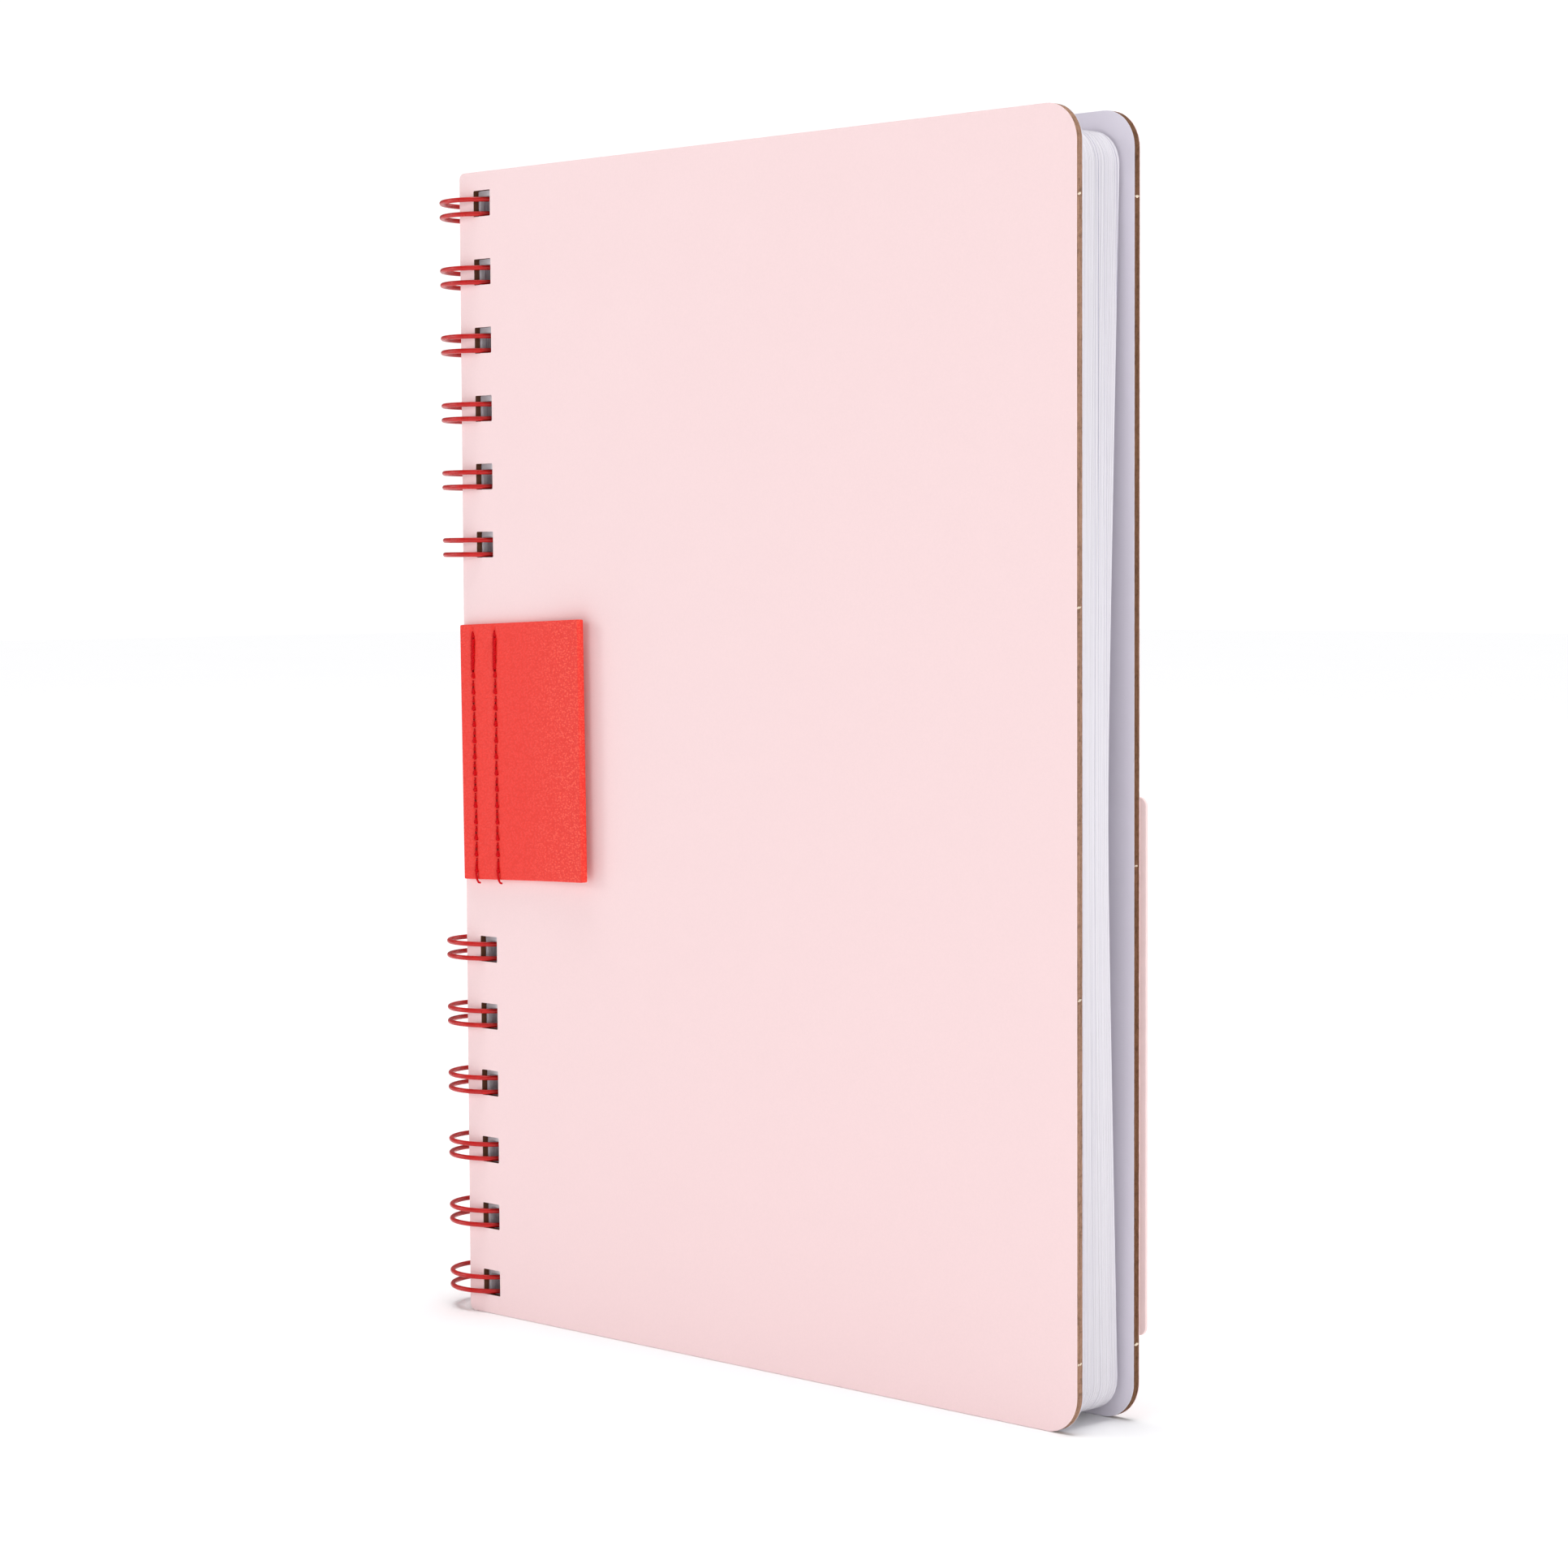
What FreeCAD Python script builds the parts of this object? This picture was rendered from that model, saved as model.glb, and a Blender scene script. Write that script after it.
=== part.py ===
import FreeCAD, Part
import math
import os

# Twin-loop wire-bound notebook with stiff covers, standing upright on its bottom edges.
# Working frame: X runs from the spine edge of the covers towards the fore-edge, Y from the
# outside of the front cover towards the back, and Z up from the surface the notebook stands on.
# The last step moves everything so that the origin is at the bottom centre of the whole.

# Covers
COVER_WIDTH = 151.0
COVER_HEIGHT = 215.0
BOARD_THICKNESS = 1.3
FACING_THICKNESS = 0.12
LINING_THICKNESS = 0.1
COVER_FORE_RADIUS = 6.4
COVER_SPINE_RADIUS = 1.2
BACK_SWING_DEGREES = 0.85

# Sheets, trimmed smaller than the covers and bound as packs that turn one by one
SHEET_WIDTH_TRIM = 3.0
SHEET_HEIGHT_TRIM = 4.5
SHEET_DROP = 1.0
SHEET_THICKNESS = 0.098
SHEETS_PER_PACK = 12
PACK_COUNT = 8
SHEET_FORE_RADIUS = 6.0
SHEET_SPINE_RADIUS = 1.0
PACK_GAP = 0.02

# Punched holes
HOLE_WIDTH = 4.7
HOLE_HEIGHT = 4.8
HOLE_MARGIN = 3.9
HOLE_PITCH = 12.7
HOLE_END_MARGIN = 5.0

# Wire
WIRE_DIAMETER = 0.9
WIRE_BEND_RADIUS = 0.8
WIRE_CLEARANCE = 0.15
WIRE_HOLE_CLEARANCE = 0.1
WIRE_TIP_GAP = 0.35
RING_INSET = -0.15

# Leather tab for a pen's clip, sewn beside the spine and free at the other side
TAB_WIDTH = 35.0
TAB_HEIGHT = 48.0
TAB_THICKNESS = 1.35
TAB_INSET = 0.65
TAB_DROP = 0.35
TAB_FLAT_WIDTH = 13.0
TAB_LIFT = 1.6
TAB_CORNER_RADIUS = 0.5
TAB_LEAN_DEGREES = 0.7
TAB_SLANT_DEGREES = 1.4
TAB_HOLE_CLEARANCE = 11.0

# Thread
THREAD_DIAMETER = 0.6
STITCH_LENGTH = 2.55
STITCH_PITCH = 3.05
STITCH_END_MARGIN = 1.2
STITCH_ROW_INSET = 3.7
STITCH_ROW_SPACING = 6.2

# Card glued to the outside of the back cover
CARD_WIDTH = 92.0
CARD_HEIGHT = 89.0
CARD_THICKNESS = 0.5
CARD_OVERHANG = 1.3
CARD_FOOT = 14.2
CARD_CORNER_RADIUS = 1.5

# Worked out from the sizes above
COVER_THICKNESS = FACING_THICKNESS + BOARD_THICKNESS + LINING_THICKNESS
SHEET_WIDTH = COVER_WIDTH - SHEET_WIDTH_TRIM
SHEET_HEIGHT = COVER_HEIGHT - SHEET_HEIGHT_TRIM
PACK_THICKNESS = SHEET_THICKNESS * SHEETS_PER_PACK
PACK_PITCH = PACK_THICKNESS + PACK_GAP
SHEETS_FRONT = COVER_THICKNESS + PACK_GAP
SHEETS_BACK = SHEETS_FRONT + PACK_COUNT * PACK_PITCH
SEAM_GAP = WIRE_DIAMETER + 2 * WIRE_CLEARANCE
BACK_COVER_INSIDE = SHEETS_BACK + SEAM_GAP
STACK_THICKNESS = BACK_COVER_INSIDE + COVER_THICKNESS

WIRE_RADIUS = WIRE_DIAMETER / 2
WIRE_DROP = SHEET_DROP / 2
WIRE_LEG_SPACING = HOLE_HEIGHT - SHEET_DROP - WIRE_DIAMETER - 2 * WIRE_HOLE_CLEARANCE
RING_X = RING_INSET
RING_Y = STACK_THICKNESS / 2


def ring_radius():
    """Smallest ring that clears the spine side of a cover's holes at the cover's outer face."""
    reach = HOLE_MARGIN + WIRE_CLEARANCE - RING_X
    slant = math.hypot(reach, RING_Y)
    return slant + WIRE_RADIUS


RING_RADIUS = ring_radius()
SHEET_INSET = RING_X + RING_RADIUS + WIRE_RADIUS + WIRE_CLEARANCE - HOLE_MARGIN - HOLE_WIDTH
SHEET_FOOT = SHEET_HEIGHT_TRIM / 2 - SHEET_DROP

POSITIONS = int((COVER_HEIGHT - 2 * HOLE_END_MARGIN) / HOLE_PITCH) + 1
FIRST_HOLE = (COVER_HEIGHT - (POSITIONS - 1) * HOLE_PITCH) / 2
BLANK_POSITIONS = math.ceil((TAB_HEIGHT + 2 * TAB_HOLE_CLEARANCE + HOLE_HEIGHT) / HOLE_PITCH) - 1
SECTION_LOOPS = (POSITIONS - BLANK_POSITIONS) // 2

TAB_MIDDLE_X = TAB_INSET + TAB_WIDTH / 2
TAB_MIDDLE_Z = COVER_HEIGHT / 2 - TAB_DROP

UP = FreeCAD.Vector(0, 0, 1)
BACKWARDS = FreeCAD.Vector(0, 1, 0)
RING_AXIS = FreeCAD.Vector(RING_X, RING_Y, 0)
EIGHTH_TURN = math.radians(45)


def section_heights(first_position):
    """Hole centres of one section of the binding, from the bottom up."""
    return [FIRST_HOLE + (first_position + step) * HOLE_PITCH for step in range(SECTION_LOOPS)]


LOWER_HEIGHTS = section_heights(0)
UPPER_HEIGHTS = section_heights(POSITIONS - SECTION_LOOPS)


def rounded_outline(left, right, bottom, top, spine_radius, fore_radius, y):
    """Closed outline in a plane of constant Y, with one radius at the spine and one at the fore-edge."""
    corners = [
        (left, bottom, 1, 1, spine_radius),
        (right, bottom, -1, 1, fore_radius),
        (right, top, -1, -1, fore_radius),
        (left, top, 1, -1, spine_radius),
    ]
    arcs = []
    for x, z, inward_x, inward_z, radius in corners:
        along_x = FreeCAD.Vector(x + inward_x * radius, y, z)
        along_z = FreeCAD.Vector(x, y, z + inward_z * radius)
        bulge = radius * (1 - math.cos(EIGHTH_TURN))
        middle = FreeCAD.Vector(x + inward_x * bulge, y, z + inward_z * bulge)
        forwards = inward_x == inward_z
        start, end = (along_z, along_x) if forwards else (along_x, along_z)
        arcs.append((start, middle, end))
    edges = []
    for index, (start, middle, end) in enumerate(arcs):
        edges.append(Part.Arc(start, middle, end).toShape())
        next_start = arcs[(index + 1) % len(arcs)][0]
        edges.append(Part.LineSegment(end, next_start).toShape())
    return Part.Wire(edges)


def hole_outline(left, centre_height, y):
    """Square hole in a plane of constant Y."""
    bottom = centre_height - HOLE_HEIGHT / 2
    top = centre_height + HOLE_HEIGHT / 2
    corners = [(left, bottom), (left + HOLE_WIDTH, bottom), (left + HOLE_WIDTH, top), (left, top)]
    points = [FreeCAD.Vector(x, y, z) for x, z in corners]
    return Part.makePolygon(points + points[:1])


def plate(outline, front, thickness, hole_left=0, hole_heights=()):
    """Flat piece with the given outline, punched with square holes at hole_heights."""
    holes = [hole_outline(hole_left, height, front) for height in hole_heights]
    return Part.Face([outline] + holes).extrude(BACKWARDS * thickness)


def cover_layer(front, thickness):
    """One layer of a cover."""
    outline = rounded_outline(0, COVER_WIDTH, 0, COVER_HEIGHT,
                              COVER_SPINE_RADIUS, COVER_FORE_RADIUS, front)
    return plate(outline, front, thickness, HOLE_MARGIN, LOWER_HEIGHTS + UPPER_HEIGHTS)


def front_cover():
    """Facing, board and lining of the front cover, from the outside in."""
    return {
        "front_cover_facing": cover_layer(0, FACING_THICKNESS),
        "front_cover_board": cover_layer(FACING_THICKNESS, BOARD_THICKNESS),
        "front_cover_lining": cover_layer(FACING_THICKNESS + BOARD_THICKNESS, LINING_THICKNESS),
    }


def back_card():
    """Card on the back cover's outside, a little past its fore-edge."""
    right = COVER_WIDTH + CARD_OVERHANG
    outline = rounded_outline(right - CARD_WIDTH, right, CARD_FOOT, CARD_FOOT + CARD_HEIGHT,
                              CARD_CORNER_RADIUS, CARD_CORNER_RADIUS, STACK_THICKNESS)
    return plate(outline, STACK_THICKNESS, CARD_THICKNESS)


def back_cover():
    """Lining, board, facing and card of the back cover, swung a little open about the ring axis."""
    board_front = BACK_COVER_INSIDE + LINING_THICKNESS
    pieces = {
        "back_cover_lining": cover_layer(BACK_COVER_INSIDE, LINING_THICKNESS),
        "back_cover_board": cover_layer(board_front, BOARD_THICKNESS),
        "back_cover_facing": cover_layer(board_front + BOARD_THICKNESS, FACING_THICKNESS),
        "back_card": back_card(),
    }
    for piece in pieces.values():
        piece.rotate(RING_AXIS, UP, BACK_SWING_DEGREES)
    return pieces


def page_packs():
    """Packs of sheets, the first behind the front cover, all hanging a little low on the wire."""
    hole_heights = [height - SHEET_DROP for height in LOWER_HEIGHTS + UPPER_HEIGHTS]
    right = SHEET_INSET + SHEET_WIDTH
    top = SHEET_FOOT + SHEET_HEIGHT
    packs = {}
    for number in range(PACK_COUNT):
        front = SHEETS_FRONT + number * PACK_PITCH
        outline = rounded_outline(SHEET_INSET, right, SHEET_FOOT, top,
                                  SHEET_SPINE_RADIUS, SHEET_FORE_RADIUS, front)
        pack = plate(outline, front, PACK_THICKNESS, SHEET_INSET + HOLE_MARGIN, hole_heights)
        packs[f"page_pack_{number + 1:02d}"] = pack
    return packs


def ring_point(angle, height):
    """Point on the wire's centre line."""
    x = RING_X + RING_RADIUS * math.cos(angle)
    y = RING_Y + RING_RADIUS * math.sin(angle)
    return FreeCAD.Vector(x, y, height)


def ring_tangent(angle):
    """Direction of travel round the ring."""
    return FreeCAD.Vector(-math.sin(angle), math.cos(angle), 0)


def ring_arc(start_angle, end_angle, height):
    """Arc of one leg of a loop."""
    middle = ring_point((start_angle + end_angle) / 2, height)
    return Part.Arc(ring_point(start_angle, height), middle, ring_point(end_angle, height)).toShape()


def quarter_bend(start, heading, turn_towards, radius):
    """Quarter arc that leaves start along heading and ends along turn_towards, with its end point."""
    side = radius * (1 - math.cos(EIGHTH_TURN))
    ahead = radius * math.sin(EIGHTH_TURN)
    middle = start + heading * ahead + turn_towards * side
    end = start + heading * radius + turn_towards * radius
    return Part.Arc(start, middle, end).toShape(), end


def twin_loop_wire(heights):
    """One wire bent to and fro into double loops, joined by straight links along a seam.

    The links lie between the last sheet and the back cover, where the loops' tips nearly meet them.
    """
    seam_angle = math.asin((SHEETS_BACK + SEAM_GAP / 2 - RING_Y) / RING_RADIUS)
    base_angle = seam_angle + WIRE_BEND_RADIUS / RING_RADIUS
    half_spacing = WIRE_LEG_SPACING / 2
    tip_setback = WIRE_TIP_GAP + WIRE_DIAMETER + half_spacing
    tip_angle = seam_angle + 2 * math.pi - tip_setback / RING_RADIUS
    base_tangent = ring_tangent(base_angle)
    tip_tangent = ring_tangent(tip_angle)
    edges = []
    for index, height in enumerate(heights):
        low = height - half_spacing
        high = height + half_spacing
        edges.append(ring_arc(base_angle, tip_angle, low))
        tip_middle = ring_point(tip_angle, height) + tip_tangent * half_spacing
        tip = Part.Arc(ring_point(tip_angle, low), tip_middle, ring_point(tip_angle, high))
        edges.append(tip.toShape())
        edges.append(ring_arc(tip_angle, base_angle, high))
        if index + 1 < len(heights):
            leg_end = ring_point(base_angle, high)
            bend, link_start = quarter_bend(leg_end, base_tangent * -1, UP, WIRE_BEND_RADIUS)
            next_low = heights[index + 1] - half_spacing
            link_end = FreeCAD.Vector(link_start.x, link_start.y, next_low - WIRE_BEND_RADIUS)
            edges.append(bend)
            edges.append(Part.LineSegment(link_start, link_end).toShape())
            edges.append(quarter_bend(link_end, UP, base_tangent, WIRE_BEND_RADIUS)[0])
    start = ring_point(base_angle, heights[0] - half_spacing)
    profile = Part.Wire([Part.makeCircle(WIRE_RADIUS, start, base_tangent)])
    return Part.Wire(edges).makePipeShell([profile], True, False)


def wires():
    """Upper and lower wire, held between the covers' holes and the sheets' lower ones."""
    return {
        "upper_wire": twin_loop_wire([height - WIRE_DROP for height in UPPER_HEIGHTS]),
        "lower_wire": twin_loop_wire([height - WIRE_DROP for height in LOWER_HEIGHTS]),
    }


def tab_rise(x):
    """How far the tab's slanting ends stand above their middle at a place across the tab."""
    return (x - TAB_MIDDLE_X) * math.tan(math.radians(TAB_SLANT_DEGREES))


def tab_block(deep):
    """Block with the tab's outline: its ends slant a little, and its corners are rounded."""
    left = TAB_INSET
    right = TAB_INSET + TAB_WIDTH
    low = TAB_MIDDLE_Z - TAB_HEIGHT / 2
    high = TAB_MIDDLE_Z + TAB_HEIGHT / 2
    corners = [(left, low), (right, low), (right, high), (left, high)]
    points = [FreeCAD.Vector(x, -deep, z + tab_rise(x)) for x, z in corners]
    block = Part.Face(Part.makePolygon(points + points[:1])).extrude(BACKWARDS * 2 * deep)
    corner_edges = [edge for edge in block.Edges if abs(edge.Curve.Direction.y) > 0.5]
    return block.makeFillet(TAB_CORNER_RADIUS, corner_edges)


def pen_tab():
    """Tab that lies flat where it is sewn and then curves gently off the cover."""
    left = TAB_INSET
    bend = left + TAB_FLAT_WIDTH
    run = TAB_WIDTH - TAB_FLAT_WIDTH
    curve_radius = (run ** 2 + TAB_LIFT ** 2) / (2 * TAB_LIFT)
    sweep = math.asin(run / curve_radius)
    bottom = TAB_MIDDLE_Z - TAB_HEIGHT

    def on_curve(angle, depth):
        radius = curve_radius - depth
        x = bend + radius * math.sin(angle)
        y = radius * math.cos(angle) - curve_radius
        return FreeCAD.Vector(x, y, bottom)

    inner_left = FreeCAD.Vector(left, 0, bottom)
    outer_left = FreeCAD.Vector(left, -TAB_THICKNESS, bottom)
    inner_arc = Part.Arc(on_curve(0, 0), on_curve(sweep / 2, 0), on_curve(sweep, 0)).toShape()
    outer_arc = Part.Arc(on_curve(sweep, TAB_THICKNESS), on_curve(sweep / 2, TAB_THICKNESS),
                         on_curve(0, TAB_THICKNESS)).toShape()
    edges = [
        Part.LineSegment(inner_left, on_curve(0, 0)).toShape(),
        inner_arc,
        Part.LineSegment(on_curve(sweep, 0), on_curve(sweep, TAB_THICKNESS)).toShape(),
        outer_arc,
        Part.LineSegment(on_curve(0, TAB_THICKNESS), outer_left).toShape(),
        Part.LineSegment(outer_left, inner_left).toShape(),
    ]
    strip = Part.Face(Part.Wire(edges)).extrude(UP * 2 * TAB_HEIGHT)
    return strip.common(tab_block(TAB_LIFT + 3 * TAB_THICKNESS))


def stitch(x, bottom):
    """Half-round stitch lying on the tab."""
    radius = THREAD_DIAMETER / 2
    surface = -TAB_THICKNESS
    ends = [FreeCAD.Vector(x - radius, surface, bottom), FreeCAD.Vector(x + radius, surface, bottom)]
    crest = FreeCAD.Vector(x, surface - radius, bottom)
    edges = [Part.Arc(ends[0], crest, ends[1]).toShape(), Part.LineSegment(ends[1], ends[0]).toShape()]
    return Part.Face(Part.Wire(edges)).extrude(UP * STITCH_LENGTH)


def stitch_row(x):
    """Row of stitches from end to end of the tab."""
    usable = TAB_HEIGHT - 2 * STITCH_END_MARGIN
    count = int((usable - STITCH_LENGTH) / STITCH_PITCH) + 1
    row_length = (count - 1) * STITCH_PITCH + STITCH_LENGTH
    foot = TAB_MIDDLE_Z + tab_rise(x) - row_length / 2
    return Part.makeCompound([stitch(x, foot + index * STITCH_PITCH) for index in range(count)])


def tab_pieces():
    """Tab and its two rows of thread, leaning a little about the tab's middle."""
    first_row = TAB_INSET + STITCH_ROW_INSET
    pieces = {
        "pen_tab": pen_tab(),
        "stitch_row_spine": stitch_row(first_row),
        "stitch_row_inner": stitch_row(first_row + STITCH_ROW_SPACING),
    }
    middle = FreeCAD.Vector(TAB_MIDDLE_X, 0, TAB_MIDDLE_Z)
    for piece in pieces.values():
        piece.rotate(middle, BACKWARDS, -TAB_LEAN_DEGREES)
    return pieces


def all_pieces():
    """Every named piece of the notebook, in the working frame."""
    pieces = {}
    for group in (front_cover(), tab_pieces(), page_packs(), wires(), back_cover()):
        pieces.update(group)
    return pieces


def origin_shift(pieces):
    """Move that brings the bottom centre of the whole to the origin."""
    box = Part.makeCompound(list(pieces.values())).optimalBoundingBox(False, False)
    return FreeCAD.Vector(-box.Center.x, -box.Center.y, -box.ZMin)


def main():
    os.makedirs("parts", exist_ok=True)
    pieces = all_pieces()
    shift = origin_shift(pieces)
    for name, piece in pieces.items():
        piece.translate(shift)
        piece.exportStep(f"parts/{name}.step")
    ring_axis = RING_AXIS + shift
    print(f"ring axis at x {ring_axis.x:.3f} y {ring_axis.y:.3f}, ring radius {RING_RADIUS:.3f}")


main()
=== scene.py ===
import math
import random

import bmesh
import bpy
from bpy.props import FloatProperty, FloatVectorProperty, IntProperty, PointerProperty
from bpy.types import Operator, Panel, PropertyGroup
from mathutils import Matrix, Vector


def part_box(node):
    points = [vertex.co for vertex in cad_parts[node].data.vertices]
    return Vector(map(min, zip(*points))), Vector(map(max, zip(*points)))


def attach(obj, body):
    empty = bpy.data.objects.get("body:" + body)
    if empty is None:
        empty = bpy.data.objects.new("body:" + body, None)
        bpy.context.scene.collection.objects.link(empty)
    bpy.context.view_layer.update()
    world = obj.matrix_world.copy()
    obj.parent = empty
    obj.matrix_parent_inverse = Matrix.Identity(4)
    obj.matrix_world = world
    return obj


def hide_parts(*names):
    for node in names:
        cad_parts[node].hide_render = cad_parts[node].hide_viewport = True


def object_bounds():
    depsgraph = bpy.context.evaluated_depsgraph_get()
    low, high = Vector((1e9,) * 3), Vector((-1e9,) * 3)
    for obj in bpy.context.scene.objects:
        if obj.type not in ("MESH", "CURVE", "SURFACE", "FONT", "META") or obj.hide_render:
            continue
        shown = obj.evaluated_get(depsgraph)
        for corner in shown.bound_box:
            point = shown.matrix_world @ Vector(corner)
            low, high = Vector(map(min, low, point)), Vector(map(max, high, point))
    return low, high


bl_info = {
    "name": "Wire-bound notebook",
    "version": (1, 0, 0),
    "blender": (4, 5, 0),
    "location": "3D View > Sidebar > Notebook",
    "description": "Covers, sheets, twin-loop wire and sewn leather tab of a wire-bound notebook",
    "category": "Object",
}

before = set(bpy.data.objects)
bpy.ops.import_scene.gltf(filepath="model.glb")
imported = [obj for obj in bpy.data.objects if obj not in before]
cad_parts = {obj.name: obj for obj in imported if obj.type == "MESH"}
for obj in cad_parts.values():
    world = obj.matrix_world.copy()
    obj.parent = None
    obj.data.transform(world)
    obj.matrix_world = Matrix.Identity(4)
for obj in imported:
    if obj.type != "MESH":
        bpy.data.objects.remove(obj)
CAD_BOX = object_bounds()

MM = 0.001
RIGHT_ANGLE = math.pi / 2
HOLE_END_MARGIN = 5 * MM
PACK_GAP = 0.02 * MM
WIRE_CLEARANCE = 0.15 * MM
THREAD_DIAMETER = 0.62 * MM
PACK_COUNT = sum(name.startswith("page_pack_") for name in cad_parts)


def tone(red, green, blue):
    """Linear colour of an sRGB tone given from 0 to 255."""
    channels = [value / 255 for value in (red, green, blue)]
    return tuple(c / 12.92 if c <= 0.04045 else ((c + 0.055) / 1.055) ** 2.4 for c in channels)


def length(name, description, millimetres):
    """Length property with its default in millimetres."""
    return FloatProperty(
        name=name, description=description, default=millimetres * MM, precision=5, unit="LENGTH")


def angle(name, description, degrees):
    """Angle property with its default in degrees."""
    return FloatProperty(name=name, description=description, default=math.radians(degrees), subtype="ANGLE")


def colour(name, description, red, green, blue):
    """Colour property with its default as an sRGB tone."""
    return FloatVectorProperty(
        name=name, description=description, default=tone(red, green, blue), subtype="COLOR", min=0, max=1)


class CoverSettings(PropertyGroup):
    fore_radius: length("Fore-edge radius", "Radius of the cover's two corners at the fore-edge", 6.4)
    spine_radius: length("Spine radius", "Radius of the cover's two corners at the spine", 1.2)
    hole_margin: length("Hole margin", "Spine edge to the punched holes", 3.9)
    hole_width: length("Hole width", "Width of a punched hole", 4.7)
    hole_height: length("Hole height", "Height of a punched hole", 4.8)
    hole_pitch: length("Hole pitch", "Distance between neighbouring holes", 12.7)
    card_radius: length("Card radius", "Radius of the card's corners", 1.5)
    swing: angle("Back cover swing", "How far the back cover stands open", 0.85)
    edge_roughness: length("Edge roughness", "How deep the torn fibres of the cut edge go", 0.11)
    paper: colour("Cover paper", "Pale pink paper on the covers", 247, 219, 220)
    board: colour("Board", "Raw edge of the front board", 148, 114, 93)
    # Painted shade: the back board is the same greyboard as the front, with its edge painted darker for the
    # shade it stands in.
    board_painted_shade: colour("Back board", "Raw edge of the back board", 106, 72, 50)
    lining: colour("Lining", "Paper inside the covers", 227, 222, 233)
    nick: colour("Nick", "Torn paper where the board was held in the die", 243, 226, 204)
    card: colour("Card", "Card on the back cover", 249, 222, 220)


class SheetSettings(PropertyGroup):
    sheets_per_pack: IntProperty(
        name="Sheets", description="Sheets in each pack", default=12, min=2, max=40)
    fore_radius: length("Corner radius", "Radius of the sheets' corners at the fore-edge", 6.0)
    spine_radius: length("Spine radius", "Radius of the sheets' corners at the spine", 1.0)
    drop: length("Drop", "How much lower the sheets' holes are than the covers'", 1.0)
    uneven: length("Uneven", "How much the sheets' fore-edges differ", 0.05)
    fan: FloatProperty(
        name="Fan", description="How fast the sheets fan out away from the waist", default=0.030)
    waist: length("Waist", "Height at which the sheets lie closest together", 100)
    paper: colour("Sheets", "White paper of the sheets", 232, 229, 235)


class WireSettings(PropertyGroup):
    diameter: length("Diameter", "Diameter of the coated wire", 0.9)
    bend_radius: length("Bend radius", "Radius of the bends beside the seam", 0.8)
    tip_gap: length("Tip gap", "Gap between a loop's tip and the seam", 0.35)
    loops: IntProperty(name="Loops", description="Double loops in each wire", default=6, min=1)
    coating: colour("Coating", "Red coating of the wire", 198, 16, 14)


class TabSettings(PropertyGroup):
    width: length("Width", "Width of the leather tab", 35)
    height: length("Height", "Height of the leather tab", 48.0)
    thickness: length("Thickness", "Thickness of the leather", 1.35)
    flat_width: length("Flat part", "Width of the part that is sewn down", 13)
    lift: length("Lift", "How far the free edge stands off the cover", 1.6)
    lean: angle("Lean", "How far the tab leans towards the spine", 0.7)
    slant: angle("Slant", "How far the tab's ends are out of square", 1.4)
    edge_radius: length("Edge radius", "Softness of the leather's edges", 0.22)
    row_inset: length("Row inset", "Left edge of the tab to the first row of stitches", 3.7)
    row_spacing: length("Row spacing", "Distance between the two rows of stitches", 6.2)
    stitch_pitch: length("Stitch pitch", "Distance from one stitch to the next", 3.05)
    leather: colour("Leather", "Coral red leather", 242, 52, 39)
    leather_edge: colour("Leather edge", "Painted cut edge of the leather", 206, 16, 16)
    thread: colour("Thread", "Dark red thread", 214, 4, 18)


class StageSettings(PropertyGroup):
    azimuth: angle("Azimuth", "Camera's direction round the notebook", 44.715)
    elevation: angle("Elevation", "Camera's height above the horizon", 3.363)
    roll: angle("Roll", "Camera's turn about its own axis", -0.284)
    distance: length("Distance", "Camera to the point that it looks at", 643.1)
    lens: FloatProperty(
        name="Lens", description="Focal length of the camera", default=84.39, subtype="DISTANCE_CAMERA")
    floor: colour("Floor", "Pale floor", 253, 253, 254)


# Node trees ----------------------------------------------------------------------------------------


class Wire:
    """Output of a node. Used in an expression on numbers, it adds the maths nodes."""

    def __init__(self, tree, socket):
        self.tree = tree
        self.socket = socket

    def maths(self, operation, first, second):
        """Output of a maths node."""
        return self.tree.add(self.tree.maths_node, {"operation": operation}, {0: first, 1: second})

    def __add__(self, other):
        return self.maths("ADD", self, other)

    def __radd__(self, other):
        return self.maths("ADD", other, self)

    def __sub__(self, other):
        return self.maths("SUBTRACT", self, other)

    def __rsub__(self, other):
        return self.maths("SUBTRACT", other, self)

    def __mul__(self, other):
        return self.maths("MULTIPLY", self, other)

    def __rmul__(self, other):
        return self.maths("MULTIPLY", other, self)

    def __truediv__(self, other):
        return self.maths("DIVIDE", self, other)

    def __pow__(self, other):
        return self.maths("POWER", self, other)


class NodeTree:
    """A node tree with one method that adds any node."""

    maths_node = "ShaderNodeMath"

    def __init__(self, tree):
        self.tree = tree

    def add(self, kind, settings=None, inputs=None, output=0):
        """Adds a node, sets it up, links or fills its inputs, and gives one of its outputs."""
        node = self.tree.nodes.new(kind)
        for key, value in (settings or {}).items():
            if key == "stops":
                self.set_stops(node.color_ramp, value)
            else:
                setattr(node, key, value)
        for key, value in (inputs or {}).items():
            if isinstance(value, Wire):
                self.tree.links.new(value.socket, node.inputs[key])
            else:
                node.inputs[key].default_value = value
        return Wire(self, node.outputs[output]) if node.outputs else node

    @staticmethod
    def set_stops(ramp, stops):
        """Gives a colour ramp its (position, colour) stops."""
        while len(ramp.elements) < len(stops):
            ramp.elements.new(1)
        for element, (position, shade) in zip(ramp.elements, stops):
            element.position = position
            element.color = (*shade, 1)


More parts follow.
